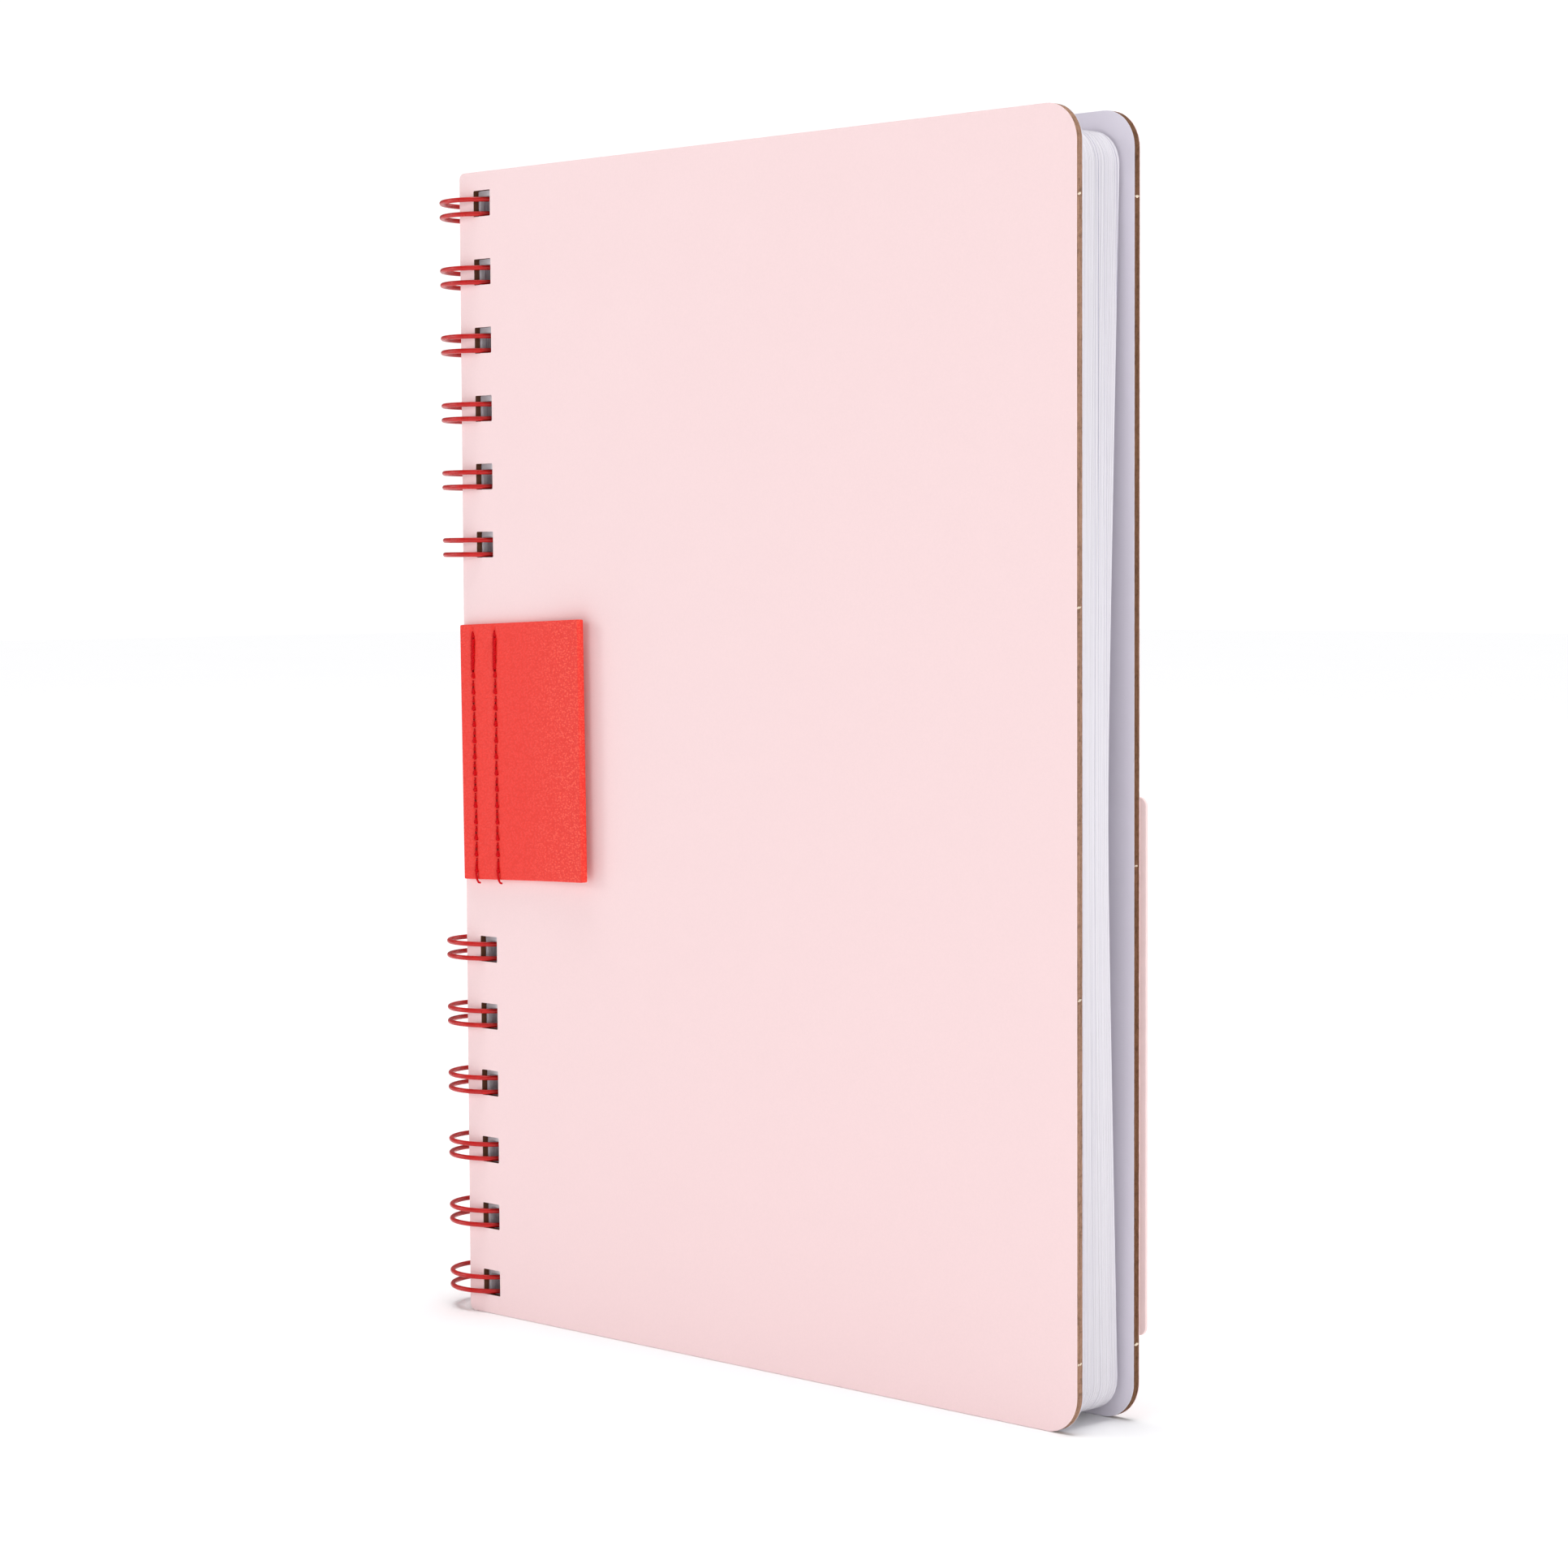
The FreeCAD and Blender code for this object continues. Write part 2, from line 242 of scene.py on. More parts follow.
class Finish(NodeTree):
    """Material of one finish, read in the object's own coordinates."""

    def __init__(self, name):
        self.material = bpy.data.materials.new(name)
        self.material.use_nodes = True
        super().__init__(self.material.node_tree)
        self.tree.nodes.clear()
        self.place = self.add("ShaderNodeTexCoord", output=3)

    def stretched(self, x, y, z):
        """Object coordinates multiplied along each axis, for patterns that run one way."""
        return self.add("ShaderNodeVectorMath", {"operation": "MULTIPLY"}, {0: self.place, 1: (x, y, z)})

    def axis(self, index):
        """One of the object coordinates."""
        return self.add("ShaderNodeSeparateXYZ", None, {"Vector": self.place}, output=index)

    def noise(self, scale, detail=3, roughness=0.5, place=None):
        """Cloudy noise from 0 to 1."""
        inputs = {"Vector": place or self.place, "Scale": scale, "Detail": detail, "Roughness": roughness}
        return self.add("ShaderNodeTexNoise", None, inputs)

    def ramp(self, factor, *stops):
        """Colour picked from the stops by the factor."""
        return self.add("ShaderNodeValToRGB", {"stops": stops}, {"Fac": factor})

    def range(self, value, low, high, new_low=0.0, new_high=1.0):
        """Value carried from one range to another and kept inside it."""
        inputs = {"Value": value, "From Min": low, "From Max": high, "To Min": new_low, "To Max": new_high}
        return self.add("ShaderNodeMapRange", {"clamp": True}, inputs)

    def mix(self, factor, first, second):
        """The first colour at a factor of 0 and the second at 1."""
        first, second = [value if isinstance(value, Wire) else (*value, 1) for value in (first, second)]
        return self.add("ShaderNodeMix", {"data_type": "RGBA"}, {0: factor, 6: first, 7: second}, output=2)

    def bump(self, height, distance, strength=1.0):
        """Normal of a surface raised by the height times the distance."""
        inputs = {"Strength": strength, "Distance": distance, "Height": height}
        return self.add("ShaderNodeBump", None, inputs)

    def shade(self, base, roughness, normal=None, **constants):
        """Ends the tree in a surface and gives the material."""
        inputs = {"Base Color": base if isinstance(base, Wire) else (*base, 1), "Roughness": roughness}
        if normal is not None:
            inputs["Normal"] = normal
        inputs.update({key.replace("_", " "): value for key, value in constants.items()})
        surface = self.add("ShaderNodeBsdfPrincipled", None, inputs)
        self.add("ShaderNodeOutputMaterial", None, {"Surface": surface})
        return self.material


class Builder(NodeTree):
    """Geometry node tree with named inputs, which ends in Realize Instances and Set Material."""

    def __init__(self, name):
        super().__init__(bpy.data.node_groups.new(name, "GeometryNodeTree"))
        self.tree.interface.new_socket("Geometry", in_out="INPUT", socket_type="NodeSocketGeometry")
        self.tree.interface.new_socket("Geometry", in_out="OUTPUT", socket_type="NodeSocketGeometry")
        self.entry = self.tree.nodes.new("NodeGroupInput")
        self.geometry = Wire(self, self.entry.outputs[0])

    def value(self, name, kind="Float"):
        """Named input of the tree."""
        self.tree.interface.new_socket(name, in_out="INPUT", socket_type=f"NodeSocket{kind}")
        return Wire(self, self.entry.outputs[name])

    def vector(self, x=0.0, y=0.0, z=0.0):
        """Vector of three numbers."""
        return self.add("ShaderNodeCombineXYZ", None, {"X": x, "Y": y, "Z": z})

    def random(self, low, high, seed, index=None):
        """Random number for each index."""
        inputs = {2: low, 3: high, "Seed": seed}
        if index is not None:
            inputs["ID"] = index
        return self.add("FunctionNodeRandomValue", {"data_type": "FLOAT"}, inputs, output=1)

    def finish(self, geometry):
        """Ends the tree and gives its node group."""
        realised = self.add("GeometryNodeRealizeInstances", None, {"Geometry": geometry})
        covered = self.add("GeometryNodeSetMaterial", None,
                           {"Geometry": realised, "Material": self.value("Material", "Material")})
        self.add("NodeGroupOutput", None, {0: covered})
        return self.tree


def new_object(name, mesh):
    """Object at the origin that holds the mesh."""
    made = bpy.data.objects.new(name, mesh)
    bpy.context.scene.collection.objects.link(made)
    return made


def mesh_from(name, build):
    """Mesh of a bmesh, with its normals pointing outwards."""
    bmesh.ops.recalc_face_normals(build, faces=build.faces)
    mesh = bpy.data.meshes.new(name)
    build.to_mesh(mesh)
    build.free()
    return mesh


def grown(name, seed_mesh, group, inputs):
    """Plain object made by running a geometry node tree on a mesh."""
    made = new_object(name, seed_mesh)
    modifier = made.modifiers.new("Build", "NODES")
    modifier.node_group = group
    for item in group.interface.items_tree:
        if item.in_out == "INPUT" and item.name in inputs:
            modifier[item.identifier] = inputs[item.name]
    view = bpy.context.evaluated_depsgraph_get()
    result = bpy.data.meshes.new_from_object(made.evaluated_get(view))
    made.modifiers.remove(modifier)
    made.data = result
    result.name = name
    return made


def settle(piece, body, slot, material, *nodes):
    """Gives the piece its material and its body, and hides the CAD nodes that it stands for. The slot is not
    used.
    """
    piece.data.materials.clear()
    piece.data.materials.append(material)
    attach(piece, body)
    if nodes:
        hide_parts(*nodes)
    return piece


def smooth(piece, degrees):
    """Smooth shading, except across edges sharper than the angle."""
    piece.data.shade_smooth()
    piece.data.set_sharp_from_angle(angle=math.radians(degrees))
    return piece


def turned(mesh, pivot, axis, turn):
    """Turns the mesh itself about an axis through the pivot."""
    mesh.transform(Matrix.Translation(pivot) @ Matrix.Rotation(turn, 4, axis) @ Matrix.Translation(-pivot))


# Shapes --------------------------------------------------------------------------------------------


def rounded_loop(left, right, bottom, top, spine_radius, fore_radius, step, arc_steps):
    """Points round a plate, each (x, z, outward x, outward z), about step apart along the straights."""
    corners = [
        (left + spine_radius, bottom + spine_radius, spine_radius, 2),
        (right - fore_radius, bottom + fore_radius, fore_radius, 3),
        (right - fore_radius, top - fore_radius, fore_radius, 0),
        (left + spine_radius, top - spine_radius, spine_radius, 1),
    ]
    points = []
    for number, (x, z, radius, quarter) in enumerate(corners):
        for index in range(arc_steps + 1):
            turn = RIGHT_ANGLE * (quarter + index / arc_steps)
            out = (math.cos(turn), math.sin(turn))
            points.append((x + radius * out[0], z + radius * out[1], *out))
        last = points[-1]
        next_x, next_z, next_radius, _ = corners[(number + 1) % len(corners)]
        end = (next_x + next_radius * last[2], next_z + next_radius * last[3])
        count = max(1, round(math.dist(last[:2], end) / step))
        for index in range(1, count):
            share = index / count
            x_between = last[0] + (end[0] - last[0]) * share
            z_between = last[1] + (end[1] - last[1]) * share
            points.append((x_between, z_between, last[2], last[3]))
    return points


def hole_loop(left, width, centre_height, height, radius):
    """Points round a punched hole; outward is into the hole."""
    bottom = centre_height - height / 2
    loop = rounded_loop(left, left + width, bottom, bottom + height, radius, radius, height / 3, 2)
    return [(x, z, -out_x, -out_z) for x, z, out_x, out_z in loop]


def plate(name, loops, profile, roughness=0.0, seed=0):
    """Solid plate: each loop runs through the profile's (depth, inset) rows, and both ends are filled.

    Roughness pulls single points of the rows between the first and the last inwards. The walls take the
    second material.
    """
    chance = random.Random(seed)
    build = bmesh.new()
    ends = ([], [])
    for loop in loops:
        rows = []
        for number, (depth, inset) in enumerate(profile):
            ragged = roughness if 0 < number < len(profile) - 1 else roughness / 3
            row = []
            for x, z, out_x, out_z in loop:
                deep = inset + ragged * chance.random() ** 2
                row.append(build.verts.new((x - out_x * deep, depth, z - out_z * deep)))
            rows.append(row)
        around = range(len(loop))
        for row, next_row in zip(rows, rows[1:]):
            for index in around:
                after = (index + 1) % len(loop)
                wall = build.faces.new((row[index], row[after], next_row[after], next_row[index]))
                wall.material_index = 1
        for end, row in zip(ends, (rows[0], rows[-1])):
            end.extend(build.edges.get((row[index], row[(index + 1) % len(loop)])) for index in around)
    for end in ends:
        for item in bmesh.ops.triangle_fill(build, use_beauty=True, edges=end)["geom"]:
            if isinstance(item, bmesh.types.BMFace):
                item.material_index = 0
    mesh = mesh_from(name, build)
    mesh.set_sharp_from_angle(angle=math.radians(25))
    return mesh


def cut_across(mesh, low, high, step):
    """Adds edges across a mesh in planes about a step apart, so that it bends without creases."""
    build = bmesh.new()
    build.from_mesh(mesh)
    for axis, normal in ((0, Vector((1, 0, 0))), (2, Vector((0, 0, 1)))):
        count = round((high[axis] - low[axis]) / step)
        for index in range(1, count):
            place = normal * (low[axis] + (high[axis] - low[axis]) * index / count)
            whole = build.verts[:] + build.edges[:] + build.faces[:]
            bmesh.ops.bisect_plane(build, geom=whole, dist=0.001 * MM, plane_co=place, plane_no=normal)
    build.to_mesh(mesh)
    build.free()
    return mesh


def mark_walls(mesh):
    """Adds a face attribute that is 1 on the walls, so that a finish can tell them from the broad faces."""
    marks = mesh.attributes.new("cut_edge", "FLOAT", "FACE")
    for mark, face in zip(marks.data, mesh.polygons):
        mark.value = face.material_index
    return mesh


def tube(build, points, radii, sides):
    """Adds a closed tube through the points to the bmesh."""
    rings = []
    for index, (point, radius) in enumerate(zip(points, radii)):
        before = points[max(index - 1, 0)]
        after = points[min(index + 1, len(points) - 1)]
        turn = (after - before).to_track_quat("Z", "Y")
        ring = []
        for side in range(sides):
            spin = 2 * math.pi * side / sides
            ring.append(build.verts.new(point + turn @ Vector((math.cos(spin), math.sin(spin), 0)) * radius))
        rings.append(ring)
    for ring, next_ring in zip(rings, rings[1:]):
        for side in range(sides):
            after = (side + 1) % sides
            build.faces.new((ring[side], ring[after], next_ring[after], next_ring[side]))
    build.faces.new(rings[0])
    build.faces.new(rings[-1])


def hole_heights(bottom, top, pitch, loops):
    """Heights of the punched holes: loops of them up from the lowest and down from the highest place."""
    places = int((top - bottom - 2 * HOLE_END_MARGIN) / pitch) + 1
    lowest = (bottom + top - (places - 1) * pitch) / 2
    kept = [*range(loops), *range(places - loops, places)]
    return [lowest + place * pitch for place in kept]


# Finishes ------------------------------------------------------------------------------------------


def cover_paper_finish(settings):
    """Matte pink paper with a faint cloudiness and fine tooth."""
    finish = Finish("cover_paper")
    cloud = finish.noise(18, 2)
    tooth = finish.noise(2600, 4, 0.6)
    soft = finish.mix(cloud, settings.paper * 0.985, settings.paper)
    base = finish.mix(finish.range(tooth, 0.3, 0.7), [c * 0.97 for c in settings.paper], soft)
    roughness = finish.range(finish.noise(90, 3), 0.3, 0.7, 0.5, 0.6)
    return finish.shade(base, roughness, finish.bump(tooth, 0.02 * MM, 0.35), Specular_IOR_Level=0.35)


def board_finish(name, base_tone, hole_left, hole_right):
    """Raw cut edge of greyboard: layers along the edge, light and dark fibres, and painted shade on the
    walls of the punched holes.
    """
    finish = Finish(name)
    layers = finish.noise(1, 4, 0.65, finish.stretched(120, 3200, 120))
    fibres = finish.noise(1500, 5, 0.7)
    specks = finish.noise(900, 2, 0.5)
    dark = [c * 0.55 for c in base_tone]
    light = [min(1, c * 1.55 + 0.02) for c in base_tone]
    layered = finish.ramp(layers, (0.3, dark), (0.5, base_tone), (0.75, light))
    fibred = finish.mix(finish.range(fibres, 0.35, 0.75, 0, 0.65), layered, light)
    cut = finish.mix(finish.range(specks, 0.56, 0.72, 0, 0.6), fibred, dark)
    # Painted shade: the walls of the punched holes are painted dark brown for the shade inside the holes.
    across = finish.axis(0)
    past_left = finish.range(across, hole_left - MM, hole_left)
    before_right = finish.range(across, hole_right, hole_right + MM, 1, 0)
    hole_shade_mask = past_left * before_right
    walls = [c * factor for c, factor in zip(base_tone, (0.42, 0.3, 0.24))]
    base = finish.mix(hole_shade_mask, cut, walls)
    height = layers * 0.5 + fibres
    return finish.shade(base, 0.92, finish.bump(height, 0.16 * MM, 0.9), Specular_IOR_Level=0.15)


def lining_finish(settings):
    """Smooth pale paper inside the covers."""
    finish = Finish("lining_paper")
    tooth = finish.noise(2200, 4, 0.6)
    cloud = finish.noise(25, 2)
    base = finish.mix(cloud, [c * 0.96 for c in settings.lining], settings.lining)
    return finish.shade(base, 0.62, finish.bump(tooth, 0.02 * MM, 0.3), Specular_IOR_Level=0.3)


def sheet_finish(settings):
    """White uncoated paper; its cut edges show fine lines of painted shade, as between the sheets, gathered
    in groups.
    """
    finish = Finish("sheet_paper")
    # Painted shade: the cut edges get fine lilac-grey lines and broader groups of them, standing in for the
    # shade between sheets.
    lines = finish.noise(1, 2, 0.6, finish.stretched(3, 2300, 3))
    groups = finish.noise(1, 2, 0.5, finish.stretched(2, 900, 2))
    tooth = finish.noise(3000, 3, 0.6)
    shaded = [c * factor for c, factor in zip(settings.paper, (0.5, 0.48, 0.6))]
    edge_shade_lines = finish.mix(finish.range(lines, 0.33, 0.42), shaded, settings.paper)
    edge_shade_groups = finish.mix(finish.range(groups, 0.3, 0.5, 0.85, 1), shaded, edge_shade_lines)
    cut_edge = finish.add("ShaderNodeAttribute", {"attribute_name": "cut_edge"}, output=2)
    faint = [c * 0.965 for c in settings.paper]
    broad = finish.mix(finish.range(finish.noise(260, 4, 0.6), 0.3, 0.7), faint, settings.paper)
    base = finish.mix(cut_edge, broad, edge_shade_groups)
    return finish.shade(base, 0.75, finish.bump(tooth, 0.02 * MM, 0.3), Specular_IOR_Level=0.25)


def wire_finish(settings):
    """Red nylon coating, glossy but slightly uneven."""
    finish = Finish("wire_coating")
    uneven = finish.noise(700, 3, 0.55)
    deep = [c * 0.82 for c in settings.coating]
    base = finish.mix(finish.range(uneven, 0.35, 0.7), deep, settings.coating)
    roughness = finish.range(finish.noise(1800, 3), 0.3, 0.7, 0.26, 0.4)
    return finish.shade(base, roughness, finish.bump(uneven, 0.03 * MM, 0.4), Specular_IOR_Level=0.38)


def leather_finish(settings, free_edge):
    """Fine-grained leather: pebbles and wrinkles, with a painted highlight that makes the crests lighter
    towards the free edge.
    """
    finish = Finish("leather")
    sway = finish.add("ShaderNodeTexNoise", None,
                      {"Vector": finish.place, "Scale": 600.0, "Detail": 2.0}, output=1)
    warped = finish.add("ShaderNodeVectorMath", {"operation": "MULTIPLY_ADD"},
                        {0: sway, 1: (0.6 * MM,) * 3, 2: finish.place})
    long_cells = finish.add("ShaderNodeVectorMath", {"operation": "MULTIPLY"},
                            {0: warped, 1: (0.62, 1.0, 1.25)})
    pebbles = finish.add("ShaderNodeTexVoronoi", {"feature": "SMOOTH_F1"},
                         {"Vector": long_cells, "Scale": 2500.0, "Smoothness": 0.5})
    folds = finish.noise(1, 3, 0.6, finish.stretched(800, 800, 1900))
    pores = finish.noise(4200, 2, 0.5)
    grain = finish.range(pebbles, 0.0, 0.75, 1, 0) * 0.7 + folds * 0.5 + pores * 0.15
    deep = [c * 0.92 for c in settings.leather]
    # Painted highlight: the grain's crests are painted lighter towards the free edge, standing in for the
    # lamp's sheen there.
    painted_highlight = [min(1, c * 1.04 + add) for c, add in zip(settings.leather, (0.1, 0.1, 0.05))]
    plain = finish.mix(finish.range(grain, 0.35, 0.85), deep, settings.leather)
    highlight_towards_edge = finish.range(finish.axis(0), free_edge - 17 * MM, free_edge - 3 * MM)
    base = finish.mix(highlight_towards_edge * finish.range(grain, 0.62, 0.9, 0, 0.7), plain, painted_highlight)
    roughness = finish.range(grain, 0.3, 0.9, 0.6, 0.42)
    return finish.shade(base, roughness, finish.bump(grain, 0.11 * MM, 0.9), Specular_IOR_Level=0.36)


def leather_edge_finish(settings):
    """Painted cut edge of the leather, smooth and a deeper red."""
    finish = Finish("leather_edge")
    uneven = finish.noise(500, 3)
    deep = [c * 0.9 for c in settings.leather_edge]
    base = finish.mix(finish.range(uneven, 0.3, 0.7), deep, settings.leather_edge)
    return finish.shade(base, 0.38, finish.bump(uneven, 0.06 * MM, 0.5), Specular_IOR_Level=0.45)


def thread_finish(settings):
    """Twisted thread: slanting plies along its length."""
    finish = Finish("thread")
    slanted = finish.add("ShaderNodeMapping", None,
                         {"Vector": finish.place, "Rotation": (0, math.radians(35), 0)})
    plies = finish.add("ShaderNodeTexWave", {"bands_direction": "Z"},
                       {"Vector": slanted, "Scale": 900.0, "Distortion": 0.6})
    base = finish.mix(plies, [c * 0.72 for c in settings.thread], settings.thread)
    return finish.shade(base, 0.65, finish.bump(plies, 0.06 * MM, 0.7), Specular_IOR_Level=0.12)


def nick_finish(settings):
    """Torn pale paper with loose fibres."""
    finish = Finish("torn_paper")
    fibres = finish.noise(2400, 4, 0.7)
    base = finish.mix(finish.range(fibres, 0.3, 0.7), [c * 0.75 for c in settings.nick], settings.nick)
    return finish.shade(base, 0.85, finish.bump(fibres, 0.1 * MM, 0.8), Specular_IOR_Level=0.2)


def card_finish(settings):
    """Dusty pink card, matte, with a fine mottle."""
    finish = Finish("card")
    mottle = finish.noise(320, 4, 0.6)
    tooth = finish.noise(2400, 4, 0.6)
    base = finish.mix(finish.range(mottle, 0.3, 0.7), [c * 0.95 for c in settings.card], settings.card)
    return finish.shade(base, 0.66, finish.bump(tooth, 0.03 * MM, 0.4), Specular_IOR_Level=0.3)


def floor_finish(settings):
    """Plain pale floor."""
    finish = Finish("floor")
    cloud = finish.noise(3, 2)
    base = finish.mix(cloud, [c * 0.99 for c in settings.floor], settings.floor)
    return finish.shade(base, 0.9, Specular_IOR_Level=0.1)


# Covers --------------------------------------------------------------------------------------------


def ring_centre():
    """Axis of the rings, at the height of the surface that the notebook stands on."""
    low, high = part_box("lower_wire")
    return Vector(((low.x + high.x) / 2, (low.y + high.y) / 2, 0))


def cover_loops(settings, loops_in_wire):
    """Outline and holes of a cover, taken from the front board, which stands square to the frame."""
    low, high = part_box("front_cover_board")
    outline = rounded_loop(low.x, high.x, low.z, high.z, settings.spine_radius, settings.fore_radius,
                           0.7 * MM, 14)
    heights = hole_heights(low.z, high.z, settings.hole_pitch, loops_in_wire)
    left = low.x + settings.hole_margin
    holes = [hole_loop(left, settings.hole_width, height, settings.hole_height, 0.2 * MM)
             for height in heights]
    return [outline] + holes


def layer_depths(low, high, softness):
    """Rows through a layer, with its two edges a little rounded."""
    thickness = high - low
    edge = min(softness, thickness / 3)
    front = [(low, edge), (low + edge * 0.5, edge * 0.2)]
    middle = [(low + thickness * share, 0.0) for share in (0.25, 0.5, 0.75)]
    back = [(high - edge * 0.5, edge * 0.2), (high, edge)]
    return front + middle + back


class NOTEBOOK_OT_covers(Operator):
    """Make both covers, each a board between two papers"""

    bl_idname = "notebook.covers"
    bl_label = "Make covers"

    def execute(self, context):
        settings = context.scene.notebook_covers
        loops = cover_loops(settings, context.scene.notebook_wires.loops)
        paper = cover_paper_finish(settings)
        lining = lining_finish(settings)
        hole_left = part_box("front_cover_board")[0].x + settings.hole_margin
        hole_right = hole_left + settings.hole_width
        boards = {
            "front": board_finish("greyboard_front", tuple(settings.board), hole_left, hole_right),
            # The back board's edge takes the painted-shade tone.
            "back": board_finish("greyboard_back", tuple(settings.board_painted_shade), hole_left, hole_right),
        }
        slots = {"facing": "cover_paper", "board": "greyboard", "lining": "lining_paper"}
        centre = ring_centre()
        for side, board in boards.items():
            materials = {"facing": paper, "board": board, "lining": lining}
            for seed, layer in enumerate(("facing", "board", "lining")):
                low, high = self.depths(side, layer, centre, settings.swing)
                ragged = settings.edge_roughness if layer == "board" else settings.edge_roughness / 4
                softness = 0.05 * MM if layer == "board" else 0.03 * MM
                mesh = plate(f"{side}_{layer}", loops, layer_depths(low, high, softness), ragged, seed)
                if side == "back":
                    turned(mesh, centre, "Z", settings.swing)
                piece = new_object(f"{side}_{layer}", mesh)
                settle(piece, f"{side}_cover", slots[layer], materials[layer], f"{side}_cover_{layer}")
                piece.data.materials.append(board)
        return {"FINISHED"}

    @staticmethod
    def depths(side, layer, centre, swing):
        """Front and back of a layer before the back cover is swung."""
        if side == "front":
            low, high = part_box(f"front_cover_{layer}")
            return low.y, high.y
        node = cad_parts[f"back_cover_{layer}"]
        back_turn = Matrix.Rotation(-swing, 3, "Z")
        depths = [(back_turn @ (vertex.co - centre)).y for vertex in node.data.vertices]
        return centre.y + min(depths), centre.y + max(depths)


class NOTEBOOK_OT_card(Operator):
    """Make the card on the outside of the back cover"""

    bl_idname = "notebook.card"
    bl_label = "Make card"

    def execute(self, context):
        settings = context.scene.notebook_covers
        centre = ring_centre()
        back_turn = Matrix.Rotation(-settings.swing, 3, "Z")
        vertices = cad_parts["back_card"].data.vertices
        flat = [centre + back_turn @ (vertex.co - centre) for vertex in vertices]
        low = Vector([min(point[axis] for point in flat) for axis in range(3)])
        high = Vector([max(point[axis] for point in flat) for axis in range(3)])
        radius = settings.card_radius
        outline = rounded_loop(low.x, high.x, low.z, high.z, radius, radius, 2 * MM, 10)
        mesh = plate("back_card_sheet", [outline], layer_depths(low.y, high.y, 0.08 * MM), 0.01 * MM, 7)
        turned(mesh, centre, "Z", settings.swing)
        piece = new_object("back_card_sheet", mesh)
        card = card_finish(settings)
        settle(piece, "back_cover", "card", card, "back_card")
        piece.data.materials.append(card)
        return {"FINISHED"}


def nick_builder():
    """Ragged tufts on the points of a mesh, each turned and sized a little differently."""
    tree = Builder("edge_nicks")
    width = tree.value("Width")
    depth = tree.value("Depth")
    height = tree.value("Height")
    ragged = tree.value("Ragged")
    seed = tree.value("Seed", "Int")
    ball = tree.add("GeometryNodeMeshIcoSphere", None, {"Radius": 1.0, "Subdivisions": 3})
    turn = tree.vector(tree.random(-0.3, 0.3, seed), tree.random(-0.3, 0.3, seed + 1))
    size = tree.random(0.9, 1.05, seed + 2)
    placed = tree.add("GeometryNodeInstanceOnPoints", None,
                      {"Points": tree.geometry, "Instance": ball, "Rotation": turn,
                       "Scale": tree.vector(width * size, depth * size, height * size)})
    realised = tree.add("GeometryNodeRealizeInstances", None, {"Geometry": placed})
    push = tree.add("ShaderNodeTexNoise", {"noise_dimensions": "3D"},
                    {"Scale": 4200.0, "Detail": 2.0}, output=1)
    centred = tree.add("ShaderNodeVectorMath", {"operation": "SUBTRACT"}, {0: push, 1: (0.5, 0.5, 0.5)})
    spread = tree.add("ShaderNodeVectorMath", {"operation": "MULTIPLY"},
                      {0: centred, 1: tree.vector(ragged, ragged, ragged)})
    moved = tree.add("GeometryNodeSetPosition", None, {"Geometry": realised, "Offset": spread})
    return tree.finish(moved)


class NOTEBOOK_OT_nicks(Operator):
    """Make the torn tufts left where the boards were held in the die"""

    bl_idname = "notebook.nicks"
    bl_label = "Make edge nicks"

    def execute(self, context):
        settings = context.scene.notebook_covers
        material = nick_finish(settings)
        group = nick_builder()
        front_low, front_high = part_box("front_cover_board")
        back_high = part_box("back_cover_board")[1]
        thickness = front_high.y - front_low.y
        runs = {
            "front": ((11.8, 71.1, 134.4, 200.2), (front_low.y + front_high.y) / 2, front_high.x),
            "back": ((12.8, 92.0, 200.7), back_high.y - thickness / 2, back_high.x),
        }
        sunk = 0.12 * MM
        for seed, (side, (heights, depth, fore_edge)) in enumerate(runs.items()):
            points = bpy.data.meshes.new(f"{side}_nicks")
            points.from_pydata([(fore_edge - sunk, depth, height * MM) for height in heights], [], [])
            inputs = {
                "Width": 0.14 * MM, "Depth": thickness * 0.5, "Height": 0.24 * MM, "Ragged": 0.25 * MM,
                "Seed": seed * 10, "Material": material,
            }
            piece = grown(f"{side}_edge_nicks", points, group, inputs)
            settle(piece, f"{side}_cover", "cover_paper", material)
        return {"FINISHED"}


# Sheets --------------------------------------------------------------------------------------------


def sheet_pack_builder():
    """Sheets one behind another, uneven at the fore-edge and fanned out away from the waist."""
    tree = Builder("sheet_pack")
    count = tree.value("Count", "Int")
    pitch = tree.value("Pitch")
    uneven = tree.value("Uneven")
    spine = tree.value("Spine")
    width = tree.value("Width")
    waist = tree.value("Waist")
    softness = tree.value("Softness")
    fan = tree.value("Fan")
    share_start = tree.value("Share start")
    share_end = tree.value("Share end")
    seed = tree.value("Seed", "Int")
    line = tree.add("GeometryNodeMeshLine", None, {"Count": count, "Offset": tree.vector(y=pitch)})
    number = tree.add("GeometryNodeInputIndex")
    numbered = tree.add("GeometryNodeStoreNamedAttribute", {"data_type": "INT", "domain": "POINT"},
                        {"Geometry": line, "Name": "sheet", "Value": number})
    placed = tree.add("GeometryNodeInstanceOnPoints", None, {"Points": numbered, "Instance": tree.geometry})
    realised = tree.add("GeometryNodeRealizeInstances", None, {"Geometry": placed})
    sheet = tree.add("GeometryNodeInputNamedAttribute", {"data_type": "INT"}, {"Name": "sheet"})
    position = tree.add("GeometryNodeInputPosition")
    parts = [tree.add("ShaderNodeSeparateXYZ", None, {"Vector": position}, output=axis) for axis in range(3)]
    across = (parts[0] - spine) / width
    above = parts[2] - waist
    spread = (above * above + softness * softness) ** 0.5 - softness
    share = share_start + (share_end - share_start) * (sheet / (count - 1))
    back = fan * spread * across * across * share
    fore = uneven * across * tree.random(-1.0, 0.0, seed, sheet)
    rise = uneven * 0.4 * across * tree.random(-1.0, 1.0, seed + 5, sheet)
    moved = tree.add("GeometryNodeSetPosition", None,
                     {"Geometry": realised, "Offset": tree.vector(fore, back, rise)})
    return tree.finish(moved)


